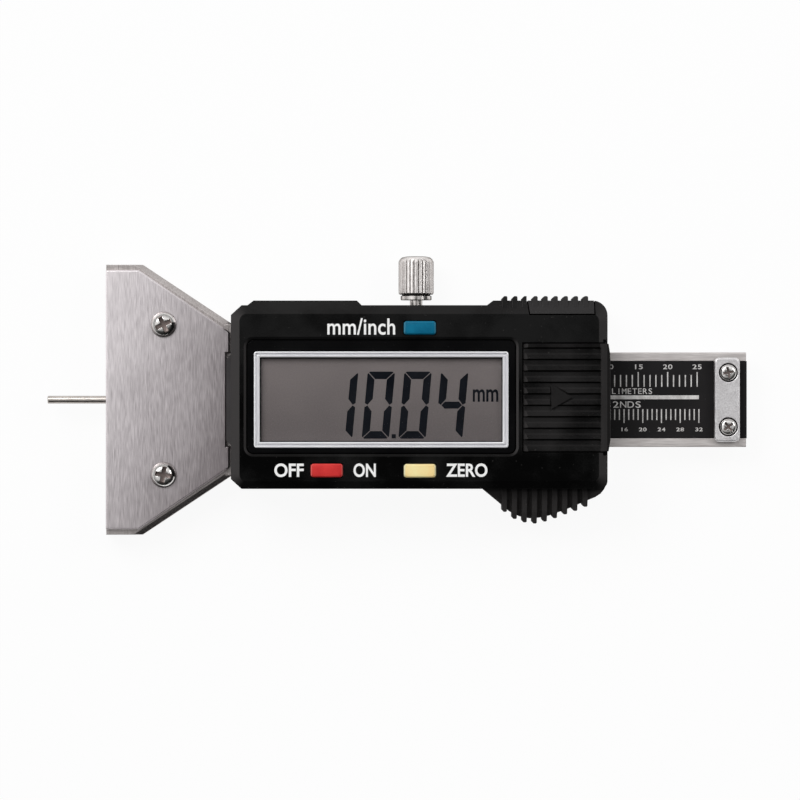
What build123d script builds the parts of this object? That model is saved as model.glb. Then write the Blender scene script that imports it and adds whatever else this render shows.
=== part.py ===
# Digital tyre tread depth gauge, in millimetres.
# The origin is the centre of the measuring face, on the axis of the probe.
# X runs along the beam towards the scale, Y across it towards the lock screw, Z out of the display.
# The rest pose reads 10.04 mm, so the probe stands out by that much.
import os
from math import cos, pi, sin
from build123d import *

# Reading and travel
reading = 10.04
full_range = 25.4

# Beam and probe
beam_thick = 3.0
beam_width = 16.05
beam_start = 18.6
beam_end = 108.6
recess_start = 27.0
recess_width = 13.15
recess_floor = 0.7
board_thick = 0.55
label_thick = 0.12
label_overhang = 0.12
probe_r = 0.65
probe_grip = 6.0

# Clearances
slide_gap = 0.05
wall_gap = 0.035
probe_gap = 0.05
thread_gap = 0.02
seat_gap = 0.03
button_gap = 0.1
cover_gap = 0.15

# Slider frame and base block
frame_bottom = -3.6
frame_top = 1.6
frame_end = 84.4
frame_wall = 3.7
block_depth = 21.2
block_half = 22.9
block_edge = 6.2
block_neck = 12.95
block_slope = 0.85
block_fall = 0.55
front_wall = 3.0
channel_half = beam_width / 2 + wall_gap
channel_floor = -beam_thick / 2 - slide_gap
gib_thick = 1.0
gib_high = 2.9
gib_left = 24.2
gib_right = 81.8
gib_inner = beam_width / 2 + slide_gap
gib_outer = gib_inner + gib_thick
wall_inner = gib_outer + seat_gap
frame_half = wall_inner + frame_wall

# Front plate of the base
plate_thick = 1.5
plate_half = 21.95
plate_edge = 5.6
plate_depth = 20.95
plate_neck = 11.5
plate_notch = 7.9
plate_notch_x = 20.4
base_screw_x = 9.8
base_screw_y = 12.73
base_head_r = 2.1
base_head_high = 1.35

# End stop
stop_left = 103.1
stop_long = 4.35
stop_half = 7.15
stop_thick = 1.5
stop_screw_x = 105.5
stop_screw_y = 4.6
stop_head_r = 1.42
stop_head_high = 0.85
stop_sink = 0.5

# Set screws behind the gib strip
gib_screw_xs = (34.0, 71.0)
gib_screw_r = 1.0

# Lock screw and pad
lock_x = 52.6
thread_r = 1.25
thread_pitch = 0.45
neck_r = 1.05
pad_r = 1.22
pad_long = 1.2
pad_lift = 0.245
head_r = 3.0
head_teeth = 26
collar_y = 16.9
head_y = 17.67
head_end_y = 24.33

# Circuit board, its spacer and the parts on it
board_bottom = frame_top
pcb_thick = 1.0
pcb_top = board_bottom + pcb_thick
spacer_thick = 1.2
spacer_top = pcb_top + spacer_thick
inner_left = 22.9
inner_right = 83.4
inner_low = -13.4
inner_high = 14.3
lip_left = 20.45
lip_right = 85.5
lip_half = 7.8
fix_xs = (26.5, 80.5)
fix_y = wall_inner + frame_wall / 2
fix_r = 1.0
fix_head_r = frame_wall / 2 - 0.25
fix_head_high = 1.2
fix_head_deep = 0.2
fix_long = 9.6
boss_r = 1.75
window_left = 27.0
window_right = 82.6
window_half = 9.4

# Housing
house_left = 21.4
house_right = 84.78
house_low = -15.0
house_high = 15.9
skirt_bottom = -2.0
front_z = 11.0
ceiling_z = 9.0
bevel = 1.5
strip_high = 16.7
ridge_pitch = 1.7
ridge_start = 67.5
ridge_count = 9
ridge_tip = 17.45
ridge_r = 0.44
ridge_slant = 0.34

# Display
recess_left = 24.0
recess_right = 69.4
recess_low = -9.15
recess_high = 10.15
shelf_z = 9.8
view_left = 26.3
view_right = 67.15
view_low = -7.0
view_high = 7.1
ring_left = 25.3
ring_right = 68.1
ring_half = 8.1
ring_top = 10.55
surround_top = 10.2
window_thick = 0.35
glass_thick = 1.6
glass_border = 0.7
strip_wide = 1.6
strip_inset = 3.2
blob_x = 48.0
blob_r = 3.2
blob_high = 1.2

# Buttons
button_long = 5.4
button_wide = 2.32
button_top = 11.45
button_travel = 0.5
button_flange = 0.7
flange_low = 8.1
stem_long = 2.2
stem_wide = 1.4
dome_r = 0.95
dome_high = 0.4
unit_button_at = (53.2, 12.05)
power_button_at = (37.55, -11.9)
zero_button_at = (53.2, -11.95)

# Battery and its cover
cell_x = 76.9
cell_y = 0.4
cell_r = 5.8
cell_high = 5.4
cell_bottom = 4.2
cover_left = 70.6
cover_right = 85.2
cover_low = -8.68
cover_high = 9.4
cover_bottom = 9.68
rail_out = 0.6
rail_thick = 0.5
groove_pitch = 1.925
groove_first = 8.7
groove_depth = 0.42
slit_depth = 0.8
groove_count = 9
groove_end = 83.6
door_gap = 0.22
arrow_left = 75.35
arrow_right = 78.8
arrow_half = 1.95
arrow_y = 0.4
arrow_gap = 0.28

# Port cover
port_left = 71.4
port_right = 82.5
port_low = 14.42
port_bottom = 2.0
port_draft = 0.35
port_gap = 0.22
socket_left = 73.5
socket_right = 79.0
socket_deep = 2.1
socket_high = 2.0


# A block between two corners
def slab(x0, x1, y0, y1, z0, z1):
    middle = ((x0 + x1) / 2, (y0 + y1) / 2, (z0 + z1) / 2)
    return Pos(*middle) * Box(x1 - x0, y1 - y0, z1 - z0)


# A cylinder along Z
def post(x, y, z0, z1, r):
    return Pos(x, y, (z0 + z1) / 2) * Cylinder(r, z1 - z0)


# A many-sided post along Z, for small screws and their holes
def peg(x, y, z0, z1, r, sides=16):
    return Pos(x, y, z0) * extrude(RegularPolygon(r, sides), z1 - z0)


# A many-sided post along Y
def peg_y(x, z, y0, y1, r, sides=16):
    return Pos(x, y0, z) * Rot(-90, 0, 0) * extrude(RegularPolygon(r, sides), y1 - y0)


# A cylinder along X
def rod_x(y, z, x0, x1, r):
    return Pos((x0 + x1) / 2, y, z) * Rot(0, 90, 0) * Cylinder(r, x1 - x0)


# A cylinder along Y
def rod_y(x, z, y0, y1, r):
    return Pos(x, (y0 + y1) / 2, z) * Rot(90, 0, 0) * Cylinder(r, y1 - y0)


# A closed outline in XY, extruded along Z
def prism(points, z0, z1):
    face = make_face(Polyline(*points, close=True))
    return Pos(0, 0, z0) * extrude(face, z1 - z0)


# A closed outline of (y, z) points, extruded along X
def side_prism(points, x0, x1):
    outline = [(x0, y, z) for y, z in points]
    face = make_face(Polyline(*outline, close=True))
    return extrude(face, x1 - x0, dir=(1, 0, 0))


# A closed outline of (x, z) points, extruded along Y
def end_prism(points, y0, y1):
    outline = [(x, y0, z) for x, z in points]
    face = make_face(Polyline(*outline, close=True))
    return extrude(face, y1 - y0, dir=(0, 1, 0))


# A block with its upright edges rounded
def round_slab(x0, x1, y0, y1, z0, z1, r):
    block = slab(x0, x1, y0, y1, z0, z1)
    return fillet(block.edges().filter_by(Axis.Z), r)


# The edges that lie in the plane at this height
def top_edges(shape, z):
    return [
        e
        for e in shape.edges()
        if abs(e.bounding_box().min.Z - z) < 1e-4
        and abs(e.bounding_box().max.Z - z) < 1e-4
    ]


# The upright edge at this corner
def upright_at(shape, x, y):
    return [
        e
        for e in shape.edges().filter_by(Axis.Z)
        if abs(e.center().X - x) < 0.01 and abs(e.center().Y - y) < 0.01
    ]


# A rib whose tip slants back on its left side
def slanted_rib(rib, x, tip):
    rib = chamfer(upright_at(rib, x - ridge_r, tip), ridge_slant)
    return chamfer(upright_at(rib, x + ridge_r, tip), 0.15)


# A rib of the upper grip, from this height up and over the bevel
def grip_rib(x, low):
    slope = strip_high - (house_high - bevel)
    profile = [
        (strip_high - 0.6, low),
        (ridge_tip, low),
        (ridge_tip, front_z - slope - 0.2),
        (ridge_tip - 0.35, front_z - slope + 0.2),
        (15.1, front_z - 0.8),
        (15.1, front_z - 1.6),
    ]
    rib = side_prism(profile, x - ridge_r, x + ridge_r)
    return slanted_rib(rib, x, ridge_tip)


# Write one sub-part, each solid of it apart
def save(name, *shapes):
    solids = [s for shape in shapes for s in shape.solids()]
    whole = solids[0] if len(solids) == 1 else Compound(children=solids)
    whole.label = name
    export_step(whole, f"parts/{name}.step")


# The cut of a cross-recess driver in a screw head, its arms at 45 degrees
def cross_recess(x, y, top, reach, arm, depth):
    cut = None
    for turn in (45, 135):
        bar = Pos(x, y, top) * Rot(0, 0, turn) * Box(2 * reach, arm, 2 * depth)
        cut = bar if cut is None else cut + bar
    return cut


# A pan-head screw along Z with its head above the seat
def pan_screw(x, y, seat, head_radius, head_high, shank_r, shank_end):
    head = peg(x, y, seat, seat + head_high, head_radius, 32)
    head = chamfer(top_edges(head, seat + head_high), head_high * 0.55)
    shank = peg(x, y, shank_end, seat, shank_r)
    screw = head + shank
    cut = cross_recess(
        x, y, seat + head_high, head_radius * 0.66, head_radius * 0.3, head_high * 0.6
    )
    return screw - cut


os.makedirs("parts", exist_ok=True)

# Slider frame with the base block
fix_seat = frame_bottom + fix_head_deep + fix_head_high
block_outline = [
    (0, -block_half),
    (block_edge, -block_half),
    (block_depth, -block_neck),
    (block_depth, block_neck),
    (block_edge, block_half),
    (0, block_half),
]
frame = prism(block_outline, frame_bottom, frame_top)
slant_x = (block_edge + block_depth) / 2
frame = chamfer(
    [e for e in top_edges(frame, frame_top) if abs(e.center().X - slant_x) < 0.01],
    block_slope,
    block_fall,
    reference=frame.faces().sort_by(Axis.Z)[-1],
)
frame += slab(block_depth - 1, frame_end, -frame_half, frame_half, frame_bottom, frame_top)
frame -= slab(
    front_wall, frame_end + 1, -channel_half, channel_half, channel_floor, frame_top + 1
)
frame -= slab(
    gib_left - cover_gap,
    gib_right + cover_gap,
    0,
    wall_inner,
    channel_floor,
    frame_top + 1,
)
frame -= rod_x(0, 0, -1, front_wall + 1, probe_r + probe_gap)
frame -= rod_y(lock_x, 0, gib_inner, frame_half + 1, thread_r + thread_gap)
for x in gib_screw_xs:
    frame -= rod_y(x, 0, gib_inner, frame_half + 1, gib_screw_r)
for side in (-1, 1):
    frame -= peg(base_screw_x, side * base_screw_y, -1.6, frame_top + 1, 1.25)
    for x in fix_xs:
        frame -= peg(x, side * fix_y, frame_bottom - 1, frame_top + 1, fix_r + 0.05)
        frame -= peg(x, side * fix_y, frame_bottom - 1, fix_seat, fix_head_r + button_gap, 24)
save("slider_frame", frame)

# Front plate of the base with its two screws
plate_seat = frame_top
plate_top = plate_seat + plate_thick
plate_outline = [
    (0, -plate_half),
    (plate_edge, -plate_half),
    (plate_depth, -plate_neck),
    (plate_depth, -plate_notch),
    (plate_notch_x, -plate_notch),
    (plate_notch_x, plate_notch),
    (plate_depth, plate_notch),
    (plate_depth, plate_neck),
    (plate_edge, plate_half),
    (0, plate_half),
]
plate = prism(plate_outline, plate_seat, plate_top)
plate = chamfer(top_edges(plate, plate_top), 0.2)
for side in (-1, 1):
    plate -= peg(base_screw_x, side * base_screw_y, plate_seat - 1, plate_top + 1, 1.35)
save("base_front_plate", plate)

base_screws = [
    pan_screw(
        base_screw_x, side * base_screw_y, plate_top, base_head_r, base_head_high, 1.25, -1.4
    )
    for side in (-1, 1)
]
save("base_screws", *base_screws)

# Probe rod, gripped in the end of the beam
probe = rod_x(0, 0, -reading, beam_start + probe_grip, probe_r)
probe_end = [e for e in probe.edges() if e.bounding_box().max.X < -reading + 1e-3]
probe = chamfer(probe_end, 0.12)
save("probe_rod", probe)

# Beam with its shallow recess
half_beam = beam_width / 2
half_thick = beam_thick / 2
half_recess = recess_width / 2
beam = slab(beam_start, beam_end, -half_beam, half_beam, -half_thick, half_thick)
beam = chamfer(beam.edges().filter_by(Axis.X), 0.15)
beam -= slab(
    recess_start, beam_end + 1, -half_recess, half_recess, recess_floor, half_thick + 1
)
beam -= rod_x(0, 0, beam_start - 1, beam_start + probe_grip, probe_r)
for side in (-1, 1):
    beam -= peg(stop_screw_x, side * stop_screw_y, -half_thick - 1, 1, 0.95)
save("beam", beam)

# Grid board and printed label in the recess
board = slab(
    recess_start + seat_gap,
    beam_end,
    -half_recess + seat_gap,
    half_recess - seat_gap,
    recess_floor,
    recess_floor + board_thick,
)
label_bottom = recess_floor + board_thick
label_top = label_bottom + label_thick
label = slab(
    recess_start + seat_gap,
    beam_end + label_overhang,
    -half_recess + seat_gap,
    half_recess - seat_gap,
    label_bottom,
    label_top,
)
for side in (-1, 1):
    board -= peg(stop_screw_x, side * stop_screw_y, 0, 2, 1.0)
    label -= peg(stop_screw_x, side * stop_screw_y, 0, 2, 1.0)
save("grid_board", board)
save("scale_label", label)

# End stop across the rims of the beam
stop_top = half_thick + stop_thick
stop = round_slab(
    stop_left, stop_left + stop_long, -stop_half, stop_half, half_thick, stop_top, 0.85
)
stop = chamfer(top_edges(stop, stop_top), 0.25)
for side in (-1, 1):
    stop -= peg(stop_screw_x, side * stop_screw_y, 0, stop_top + 1, 1.0)
    stop -= peg(
        stop_screw_x, side * stop_screw_y, stop_top - stop_sink, stop_top + 1, stop_head_r + 0.2, 32
    )
save("end_stop", stop)

stop_screws = [
    pan_screw(
        stop_screw_x,
        side * stop_screw_y,
        stop_top - stop_sink,
        stop_head_r,
        stop_head_high,
        0.95,
        -1.2,
    )
    for side in (-1, 1)
]
save("end_stop_screws", *stop_screws)

# Gib strip with a hole for the pad, and two set screws behind it
gib = slab(gib_left, gib_right, gib_inner, gib_outer, -gib_high / 2, gib_high / 2)
gib -= rod_y(lock_x, 0, gib_inner - 1, gib_outer + 1, pad_r + 0.1)
save("gib_strip", gib)

gib_screws = []
for x in gib_screw_xs:
    screw = peg_y(x, 0, gib_outer, frame_half - 0.5, gib_screw_r)
    screw -= peg_y(x, 0, frame_half - 1.4, frame_half, 0.5, 6)
    gib_screws.append(screw)
save("gib_screws", *gib_screws)

# Lock pad and lock screw, one turn back from tight
pad_face = half_beam + pad_lift
pad_back = pad_face + pad_long
save("lock_pad", rod_y(lock_x, 0, pad_face, pad_back, pad_r))

outline = []
for i in range(2 * head_teeth):
    r = head_r if i % 2 == 0 else head_r - 0.28
    outline.append((r * cos(pi * i / head_teeth), r * sin(pi * i / head_teeth)))
knurl_start = head_y
knurl_end = head_end_y
knurl = extrude(make_face(Polyline(*outline, close=True)), knurl_end - knurl_start)
cap = Cylinder(head_r, knurl_end - knurl_start, align=(Align.CENTER, Align.CENTER, Align.MIN))
cap = chamfer(
    top_edges(cap, knurl_end - knurl_start), 0.55, 0.9, reference=cap.faces().sort_by(Axis.Z)[-1]
)
cap = chamfer(top_edges(cap, 0), 0.3)
knurl = Pos(lock_x, knurl_start, 0) * Rot(-90, 0, 0) * (knurl & cap)
lock_screw = knurl + rod_y(lock_x, 0, collar_y, knurl_start - 0.22, 2.63)
lock_screw += rod_y(lock_x, 0, knurl_start - 0.3, knurl_start + 0.1, 1.7)
lock_screw += rod_y(lock_x, 0, frame_half + 0.1, collar_y + 0.1, neck_r)
lock_screw += rod_y(lock_x, 0, pad_back + seat_gap, frame_half + 0.1, thread_r)
save("lock_screw", lock_screw)

# Circuit board, resting on the walls of the frame
pcb = slab(
    inner_left + 0.2,
    inner_right - 0.2,
    inner_low + 0.2,
    inner_high - 0.2,
    board_bottom,
    pcb_top,
)
for side in (-1, 1):
    for x in fix_xs:
        pcb -= peg(x, side * fix_y, 0, 5, fix_r + 0.05)
save("circuit_board", pcb)
blob = peg(blob_x, 0, pcb_top, pcb_top + blob_high, blob_r, 24)
save("processor_blob", chamfer(top_edges(blob, pcb_top + blob_high), blob_high * 0.7))

# Sensor carrier: the spacer that clamps the board, with the lip at each end
carrier = slab(
    inner_left + 0.2,
    inner_right - 0.2,
    inner_low + 0.2,
    inner_high - 0.2,
    pcb_top,
    spacer_top,
)
lip = slab(lip_left, lip_right, -lip_half, lip_half, pcb_top, spacer_top)
lip = chamfer(lip.edges().filter_by(Axis.Z), 0.9)
carrier += lip
carrier -= slab(window_left, window_right, -window_half, window_half, 0, front_z)
for x, y in (unit_button_at, power_button_at, zero_button_at):
    carrier -= slab(
        x - stem_long / 2 - 0.9,
        x + stem_long / 2 + 0.9,
        y - stem_wide / 2 - 0.4,
        y + stem_wide / 2 + 0.4,
        0,
        front_z,
    )
carrier -= slab(
    socket_left - cover_gap,
    socket_right + cover_gap,
    inner_high - socket_deep - 0.6,
    inner_high,
    0,
    front_z,
)
for side in (-1, 1):
    for x in fix_xs:
        carrier -= peg(x, side * fix_y, 0, front_z, fix_r + 0.05)
save("sensor_carrier", carrier)

# Switch domes under the buttons
domes = []
for x, y in (unit_button_at, power_button_at, zero_button_at):
    dome = peg(x, y, pcb_top, pcb_top + dome_high, dome_r)
    domes.append(chamfer(top_edges(dome, pcb_top + dome_high), dome_high * 0.6))
save("switch_domes", *domes)

# Port connector at the edge of the board
socket_low = inner_high - 0.2 - socket_deep
connector = slab(
    socket_left, socket_right, socket_low, inner_high - 0.2, pcb_top, pcb_top + socket_high
)
socket_pitch = (socket_right - socket_left) / 4.5
for i in range(4):
    x = socket_left + socket_pitch * (i + 0.5)
    connector -= slab(
        x, x + 0.5, socket_low + 0.6, inner_high, pcb_top + socket_high / 3, pcb_top + socket_high / 1.5
    )
save("port_connector", connector)

# Display glass, contact strips and clear window
glass_low = ceiling_z - glass_thick
glass_left = ring_left - glass_border
glass_right = ring_right + glass_border
glass_half = ring_half + glass_border
glass_ledge = strip_wide / 2
glass_step = glass_low + glass_thick / 2
glass = slab(glass_left, glass_right, -glass_half, glass_half, glass_low, glass_step)
glass += slab(
    glass_left, glass_right, -glass_half + glass_ledge, glass_half, glass_step, ceiling_z
)
window_low = shelf_z - window_thick
glass += slab(
    view_left + seat_gap,
    view_right - seat_gap,
    view_low + seat_gap,
    view_high - seat_gap,
    ceiling_z,
    window_low,
)
save("display_glass", glass)
strip_y = glass_half - strip_wide / 2 - cover_gap
strips = [
    slab(
        ring_left + strip_inset,
        ring_right - strip_inset,
        y - strip_wide / 2,
        y + strip_wide / 2,
        pcb_top,
        glass_low,
    )
    for y in (-strip_y, strip_y)
]
save("contact_strips", *strips)
window = slab(
    view_left + seat_gap,
    view_right - seat_gap,
    view_low + seat_gap,
    view_high - seat_gap,
    window_low,
    shelf_z,
)
save("display_window", window)

# Silver window frame and the dark surround it stands in
ring = round_slab(ring_left, ring_right, -ring_half, ring_half, shelf_z, ring_top, 0.35)
ring -= slab(view_left, view_right, view_low, view_high, shelf_z - 1, ring_top + 1)
ring = chamfer(
    [e for e in top_edges(ring, ring_top) if e.center().X > 0 and e.length > 0.6], 0.22
)
save("window_frame", ring)
surround = round_slab(
    recess_left + 0.2,
    recess_right - 0.2,
    recess_low + 0.2,
    recess_high - 0.2,
    shelf_z,
    surround_top,
    1.0,
)
surround -= round_slab(
    ring_left - seat_gap,
    ring_right + seat_gap,
    -ring_half - seat_gap,
    ring_half + seat_gap,
    shelf_z - 1,
    surround_top + 1,
    0.35,
)
save("window_surround", surround)

# Housing shell: outline of the walls, crown with bevelled edges
house_outline = [
    (house_left, house_low + 1.65),
    (house_left, house_high - 1.65),
    (house_left + 1.8, house_high),
    (24.2, house_high),
    (25.2, strip_high),
    (42.6, strip_high),
    (43.4, house_high),
    (64.5, house_high),
    (65.55, strip_high),
    (house_right, strip_high),
    (house_right, house_low),
    (house_left + 1.8, house_low),
]
walls = prism(house_outline, skirt_bottom, front_z)
walls = fillet(upright_at(walls, house_right, strip_high), 2.5)
walls = fillet(upright_at(walls, house_right, house_low), 1.3)
crown_deep = 3.0
crown = slab(
    house_left - 2,
    house_right + 2,
    house_low - 2,
    strip_high + 2,
    skirt_bottom,
    front_z - crown_deep,
)
face_high = house_high - bevel
face_low = house_low + 1.25
crown_face = Pos(
    (house_left + house_right) / 2, (face_high + face_low) / 2, front_z
) * RectangleRounded(house_right - house_left - 2 * bevel, face_high - face_low, 1.2)
crown += extrude(crown_face, crown_deep, dir=(0, 0, -1), taper=-45)
shell = walls & crown

# Ribs of the upper grip that belong to the housing
rib_xs = [ridge_start + ridge_pitch * i for i in range(ridge_count)]
for x in rib_xs[:3]:
    shell += grip_rib(x, skirt_bottom)
for x in rib_xs[3:]:
    rib = grip_rib(x, skirt_bottom)
    shell += rib & slab(60, 90, 10, 20, skirt_bottom, port_bottom - 0.1)

# Thumb grip below the housing
lobe_points = [
    (66.1, -17.0),
    (68.35, -18.9),
    (70.05, -19.75),
    (71.75, -20.1),
    (73.45, -20.0),
    (75.2, -19.6),
    (76.9, -18.95),
    (78.6, -18.3),
    (81.3, -17.1),
]
with BuildSketch() as lobe_sketch:
    with BuildLine():
        Polyline(
            (62.9, -13.5),
            (63.8, -15.1),
            *lobe_points,
            (82.85, -16.45),
            (83.75, -15.85),
            (84.3, -15.15),
            (house_right - 0.12, -14.4),
            (house_right, -13.6),
            (house_right, -12.9),
            (62.9, -12.9),
            (62.9, -13.5),
        )
    make_face()
lobe = Pos(0, 0, skirt_bottom) * extrude(lobe_sketch.sketch, 12)
lobe_slope = [
    (-12.9, skirt_bottom),
    (-21.5, skirt_bottom),
    (-21.5, 0.4),
    (-20.4, 2.2),
    (-18.6, 4.2),
    (-16.6, 5.6),
    (-15.0, 6.2),
    (-12.9, 6.2),
]
lobe &= side_prism(lobe_slope, 60, 90)
rib_tips = (-18.97, -20.2, -20.8, -21.0, -20.65, -20.07, -19.4, -18.8, -18.1)
rib_slope = [
    (-13.2, skirt_bottom),
    (-22.0, skirt_bottom),
    (-22.0, 0.6),
    (-20.9, 2.6),
    (-19.0, 4.8),
    (-16.9, 6.2),
    (-14.9, 6.9),
    (-13.2, 6.9),
]
for x, tip in zip(rib_xs, rib_tips):
    rib = side_prism(rib_slope, x - ridge_r, x + ridge_r)
    rib &= slab(x - 1, x + 1, tip, -13, skirt_bottom - 1, 9)
    lobe += slanted_rib(rib, x, tip)
shell += lobe

# Block that holds the cell, under the ceiling
shell_block = slab(
    69.9, house_right - 0.5, cover_low - 0.8, cover_high + 0.8, spacer_top + 0.05, ceiling_z
)
cavity = slab(inner_left, inner_right, inner_low, inner_high, 0, ceiling_z)
for side in (-1, 1):
    for x in fix_xs:
        cavity -= peg(x, side * fix_y, spacer_top + seat_gap, ceiling_z + 1, boss_r, 24)
cavity -= shell_block
shell -= cavity
shell -= slab(
    house_left - 1,
    house_right + 1,
    -frame_half - 0.1,
    frame_half + 0.1,
    skirt_bottom - 1,
    frame_top + 0.03,
)
shell -= slab(
    house_left - 1,
    house_right + 1,
    -lip_half - 0.1,
    lip_half + 0.1,
    0,
    spacer_top + seat_gap,
)
shell -= slab(house_left - 1, inner_left + 1, -frame_half, frame_half, 0, frame_top + 0.03)

# Slot for the neck of the lock screw
shell -= rod_y(lock_x, 0, frame_half - 1, strip_high + 1, neck_r + 0.5)
shell -= slab(
    lock_x - neck_r - 0.5,
    lock_x + neck_r + 0.5,
    frame_half - 1,
    strip_high + 1,
    skirt_bottom - 1,
    0,
)

# Pocket for the surround of the display, with a bevelled edge, and the view through it
pocket_face = Pos(
    (recess_left + recess_right) / 2, (recess_low + recess_high) / 2, front_z
) * RectangleRounded(recess_right - recess_left, recess_high - recess_low, 1.2)
shell -= extrude(pocket_face, front_z - shelf_z, dir=(0, 0, -1))
rim_face = offset(pocket_face, 0.4)
shell -= extrude(rim_face, 0.5, dir=(0, 0, -1), taper=45)
shell -= slab(view_left, view_right, view_low, view_high, ceiling_z - 1, front_z)

# Openings for the buttons
for x, y in (unit_button_at, power_button_at, zero_button_at):
    shell -= round_slab(
        x - button_long / 2 - button_gap,
        x + button_long / 2 + button_gap,
        y - button_wide / 2 - button_gap,
        y + button_wide / 2 + button_gap,
        ceiling_z - 1,
        front_z + 1,
        0.4,
    )

# Well for the cell, opening and grooves for its cover
shell -= post(cell_x, cell_y, spacer_top - 1, front_z + 1, cell_r + 0.15)
shell -= slab(
    cover_left - door_gap,
    house_right + 2,
    cover_low - door_gap,
    cover_high + door_gap,
    cover_bottom - 0.06,
    front_z + 1,
)
shell -= slab(
    cover_left - door_gap,
    house_right + 2,
    cover_low - rail_out - 0.1,
    cover_high + rail_out + 0.1,
    cover_bottom - 0.06,
    cover_bottom + rail_thick + 0.06,
)
shell -= slab(75.2, 78.6, cell_y + 4, cell_y + 6.7, 0, cover_bottom - 0.4)

# Opening for the port cover, and holes for the housing screws
port_outline = [
    (port_left + port_draft, port_low),
    (port_right, port_low),
    (port_right, strip_high),
    (port_right, strip_high + 1),
    (port_left, strip_high + 1),
    (port_left, strip_high),
]
port_hole = make_face(Polyline(*port_outline, close=True))
port_hole = offset(port_hole, port_gap, kind=Kind.INTERSECTION)
shell -= Pos(0, 0, port_bottom - 0.1) * extrude(port_hole, 12)
for side in (-1, 1):
    for x in fix_xs:
        shell -= peg(x, side * fix_y, 0, fix_seat + fix_long + 0.2, fix_r)
save("housing", shell)

# Port cover with its ribs
port_cover = prism(port_outline[:3] + port_outline[-1:], port_bottom, front_z + 1)
port_slope = [
    (port_low - 1, port_bottom),
    (strip_high, port_bottom),
    (strip_high, front_z - (strip_high - face_high) + 0.08),
    (port_low - 0.05, front_z + 0.05),
    (port_low - 1, front_z + 0.05),
]
port_cover &= side_prism(port_slope, 60, 90)
for x in rib_xs[3:]:
    port_cover += grip_rib(x, port_bottom)
save("port_cover", port_cover)

# Housing screws from the back
fix_screws = []
for side in (-1, 1):
    for x in fix_xs:
        head_low = frame_bottom + fix_head_deep
        head = peg(x, side * fix_y, head_low, fix_seat, fix_head_r, 24)
        head = chamfer(top_edges(head, head_low), 0.25)
        screw = head + peg(x, side * fix_y, fix_seat, fix_seat + fix_long, fix_r)
        cut = cross_recess(0, 0, 0, fix_head_r * 0.62, fix_head_r * 0.27, fix_head_high * 0.6)
        screw -= Pos(x, side * fix_y, head_low) * Rot(180, 0, 0) * cut
        fix_screws.append(screw)
save("housing_screws", *fix_screws)

# Buttons, each a cap in the front, a flange below the ceiling and a stem down to its dome
for name, (x, y) in (
    ("unit_button", unit_button_at),
    ("power_button", power_button_at),
    ("zero_button", zero_button_at),
):
    half_long = button_long / 2
    half_wide = button_wide / 2
    button = round_slab(
        x - half_long,
        x + half_long,
        y - half_wide,
        y + half_wide,
        flange_low + 0.1,
        button_top,
        0.35,
    )
    button = chamfer(top_edges(button, button_top), 0.2)
    button += slab(
        x - half_long - button_flange,
        x + half_long + button_flange,
        y - half_wide + 0.2,
        y + half_wide - 0.2,
        flange_low,
        ceiling_z - slide_gap,
    )
    stem_low = pcb_top + dome_high + button_travel + slide_gap
    button += slab(
        x - stem_long / 2,
        x + stem_long / 2,
        y - stem_wide / 2,
        y + stem_wide / 2,
        stem_low,
        flange_low + 0.4,
    )
    save(name, button)

# Button cell, its two contacts
cell = peg(cell_x, cell_y, cell_bottom, cell_bottom + cell_high, cell_r, 40)
cell = chamfer(top_edges(cell, cell_bottom + cell_high), 0.4)
cell = chamfer(top_edges(cell, cell_bottom), 0.4)
save("battery_cell", cell)
negative = end_prism(
    [
        (72.0, pcb_top),
        (81.0, pcb_top),
        (81.0, pcb_top + 0.2),
        (73.4, pcb_top + 0.2),
        (77.2, cell_bottom - 0.2),
        (79.4, cell_bottom - 0.2),
        (79.4, cell_bottom),
        (77.1, cell_bottom),
        (72.0, pcb_top + 0.25),
    ],
    cell_y - 1.6,
    cell_y + 1.6,
)
save("negative_contact", negative)
positive_y = cell_y + cell_r + 0.03
positive = slab(75.5, 78.3, positive_y, positive_y + 0.25, pcb_top, 8.9)
positive += slab(75.5, 78.3, positive_y, positive_y + 0.7, pcb_top, pcb_top + 0.25)
save("positive_contact", positive)

# Battery cover: rails, saw-tooth ridges, arrow and a sloped end
cover = slab(cover_left, cover_right, cover_low, cover_high, cover_bottom, front_z)
for i in range(groove_count):
    y = groove_first - groove_pitch * i
    crest = max(y - groove_pitch + 0.1, cover_low)
    step = [
        (y + 0.1, front_z + 0.2),
        (y + 0.1, front_z),
        (y - 0.05, front_z - slit_depth),
        (y - 0.17, front_z - groove_depth),
        (y - 0.85, front_z - groove_depth + 0.04),
        (y - 1.12, front_z - 0.17),
        (crest, front_z),
        (crest, front_z + 0.2),
    ]
    cover -= side_prism(step, cover_left - 1, groove_end)
arrow = make_face(
    Polyline(
        (arrow_left, arrow_y - arrow_half),
        (arrow_right, arrow_y),
        (arrow_left, arrow_y + arrow_half),
        close=True,
    )
)
moat = offset(arrow, arrow_gap, kind=Kind.INTERSECTION)
cover -= Pos(0, 0, front_z - groove_depth) * extrude(moat, 1)
cover += Pos(0, 0, front_z - 0.9) * extrude(arrow, 0.92)
left_slope = [
    (cover_left - 0.5, front_z + 0.3),
    (cover_left - 0.5, front_z - 0.6),
    (cover_left, front_z - 0.5),
    (cover_left + 0.8, front_z),
    (cover_left + 0.8, front_z + 0.3),
]
cover -= end_prism(left_slope, cover_low - 1, cover_high + 1)
right_slope = [
    (cover_right - 1.7, front_z + 0.3),
    (cover_right - 1.7, front_z),
    (cover_right - 0.5, front_z - 0.95),
    (cover_right, front_z - 1.2),
    (cover_right + 0.5, front_z - 1.2),
    (cover_right + 0.5, front_z + 0.3),
]
cover -= end_prism(right_slope, cover_low - 1, cover_high + 1)
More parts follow.
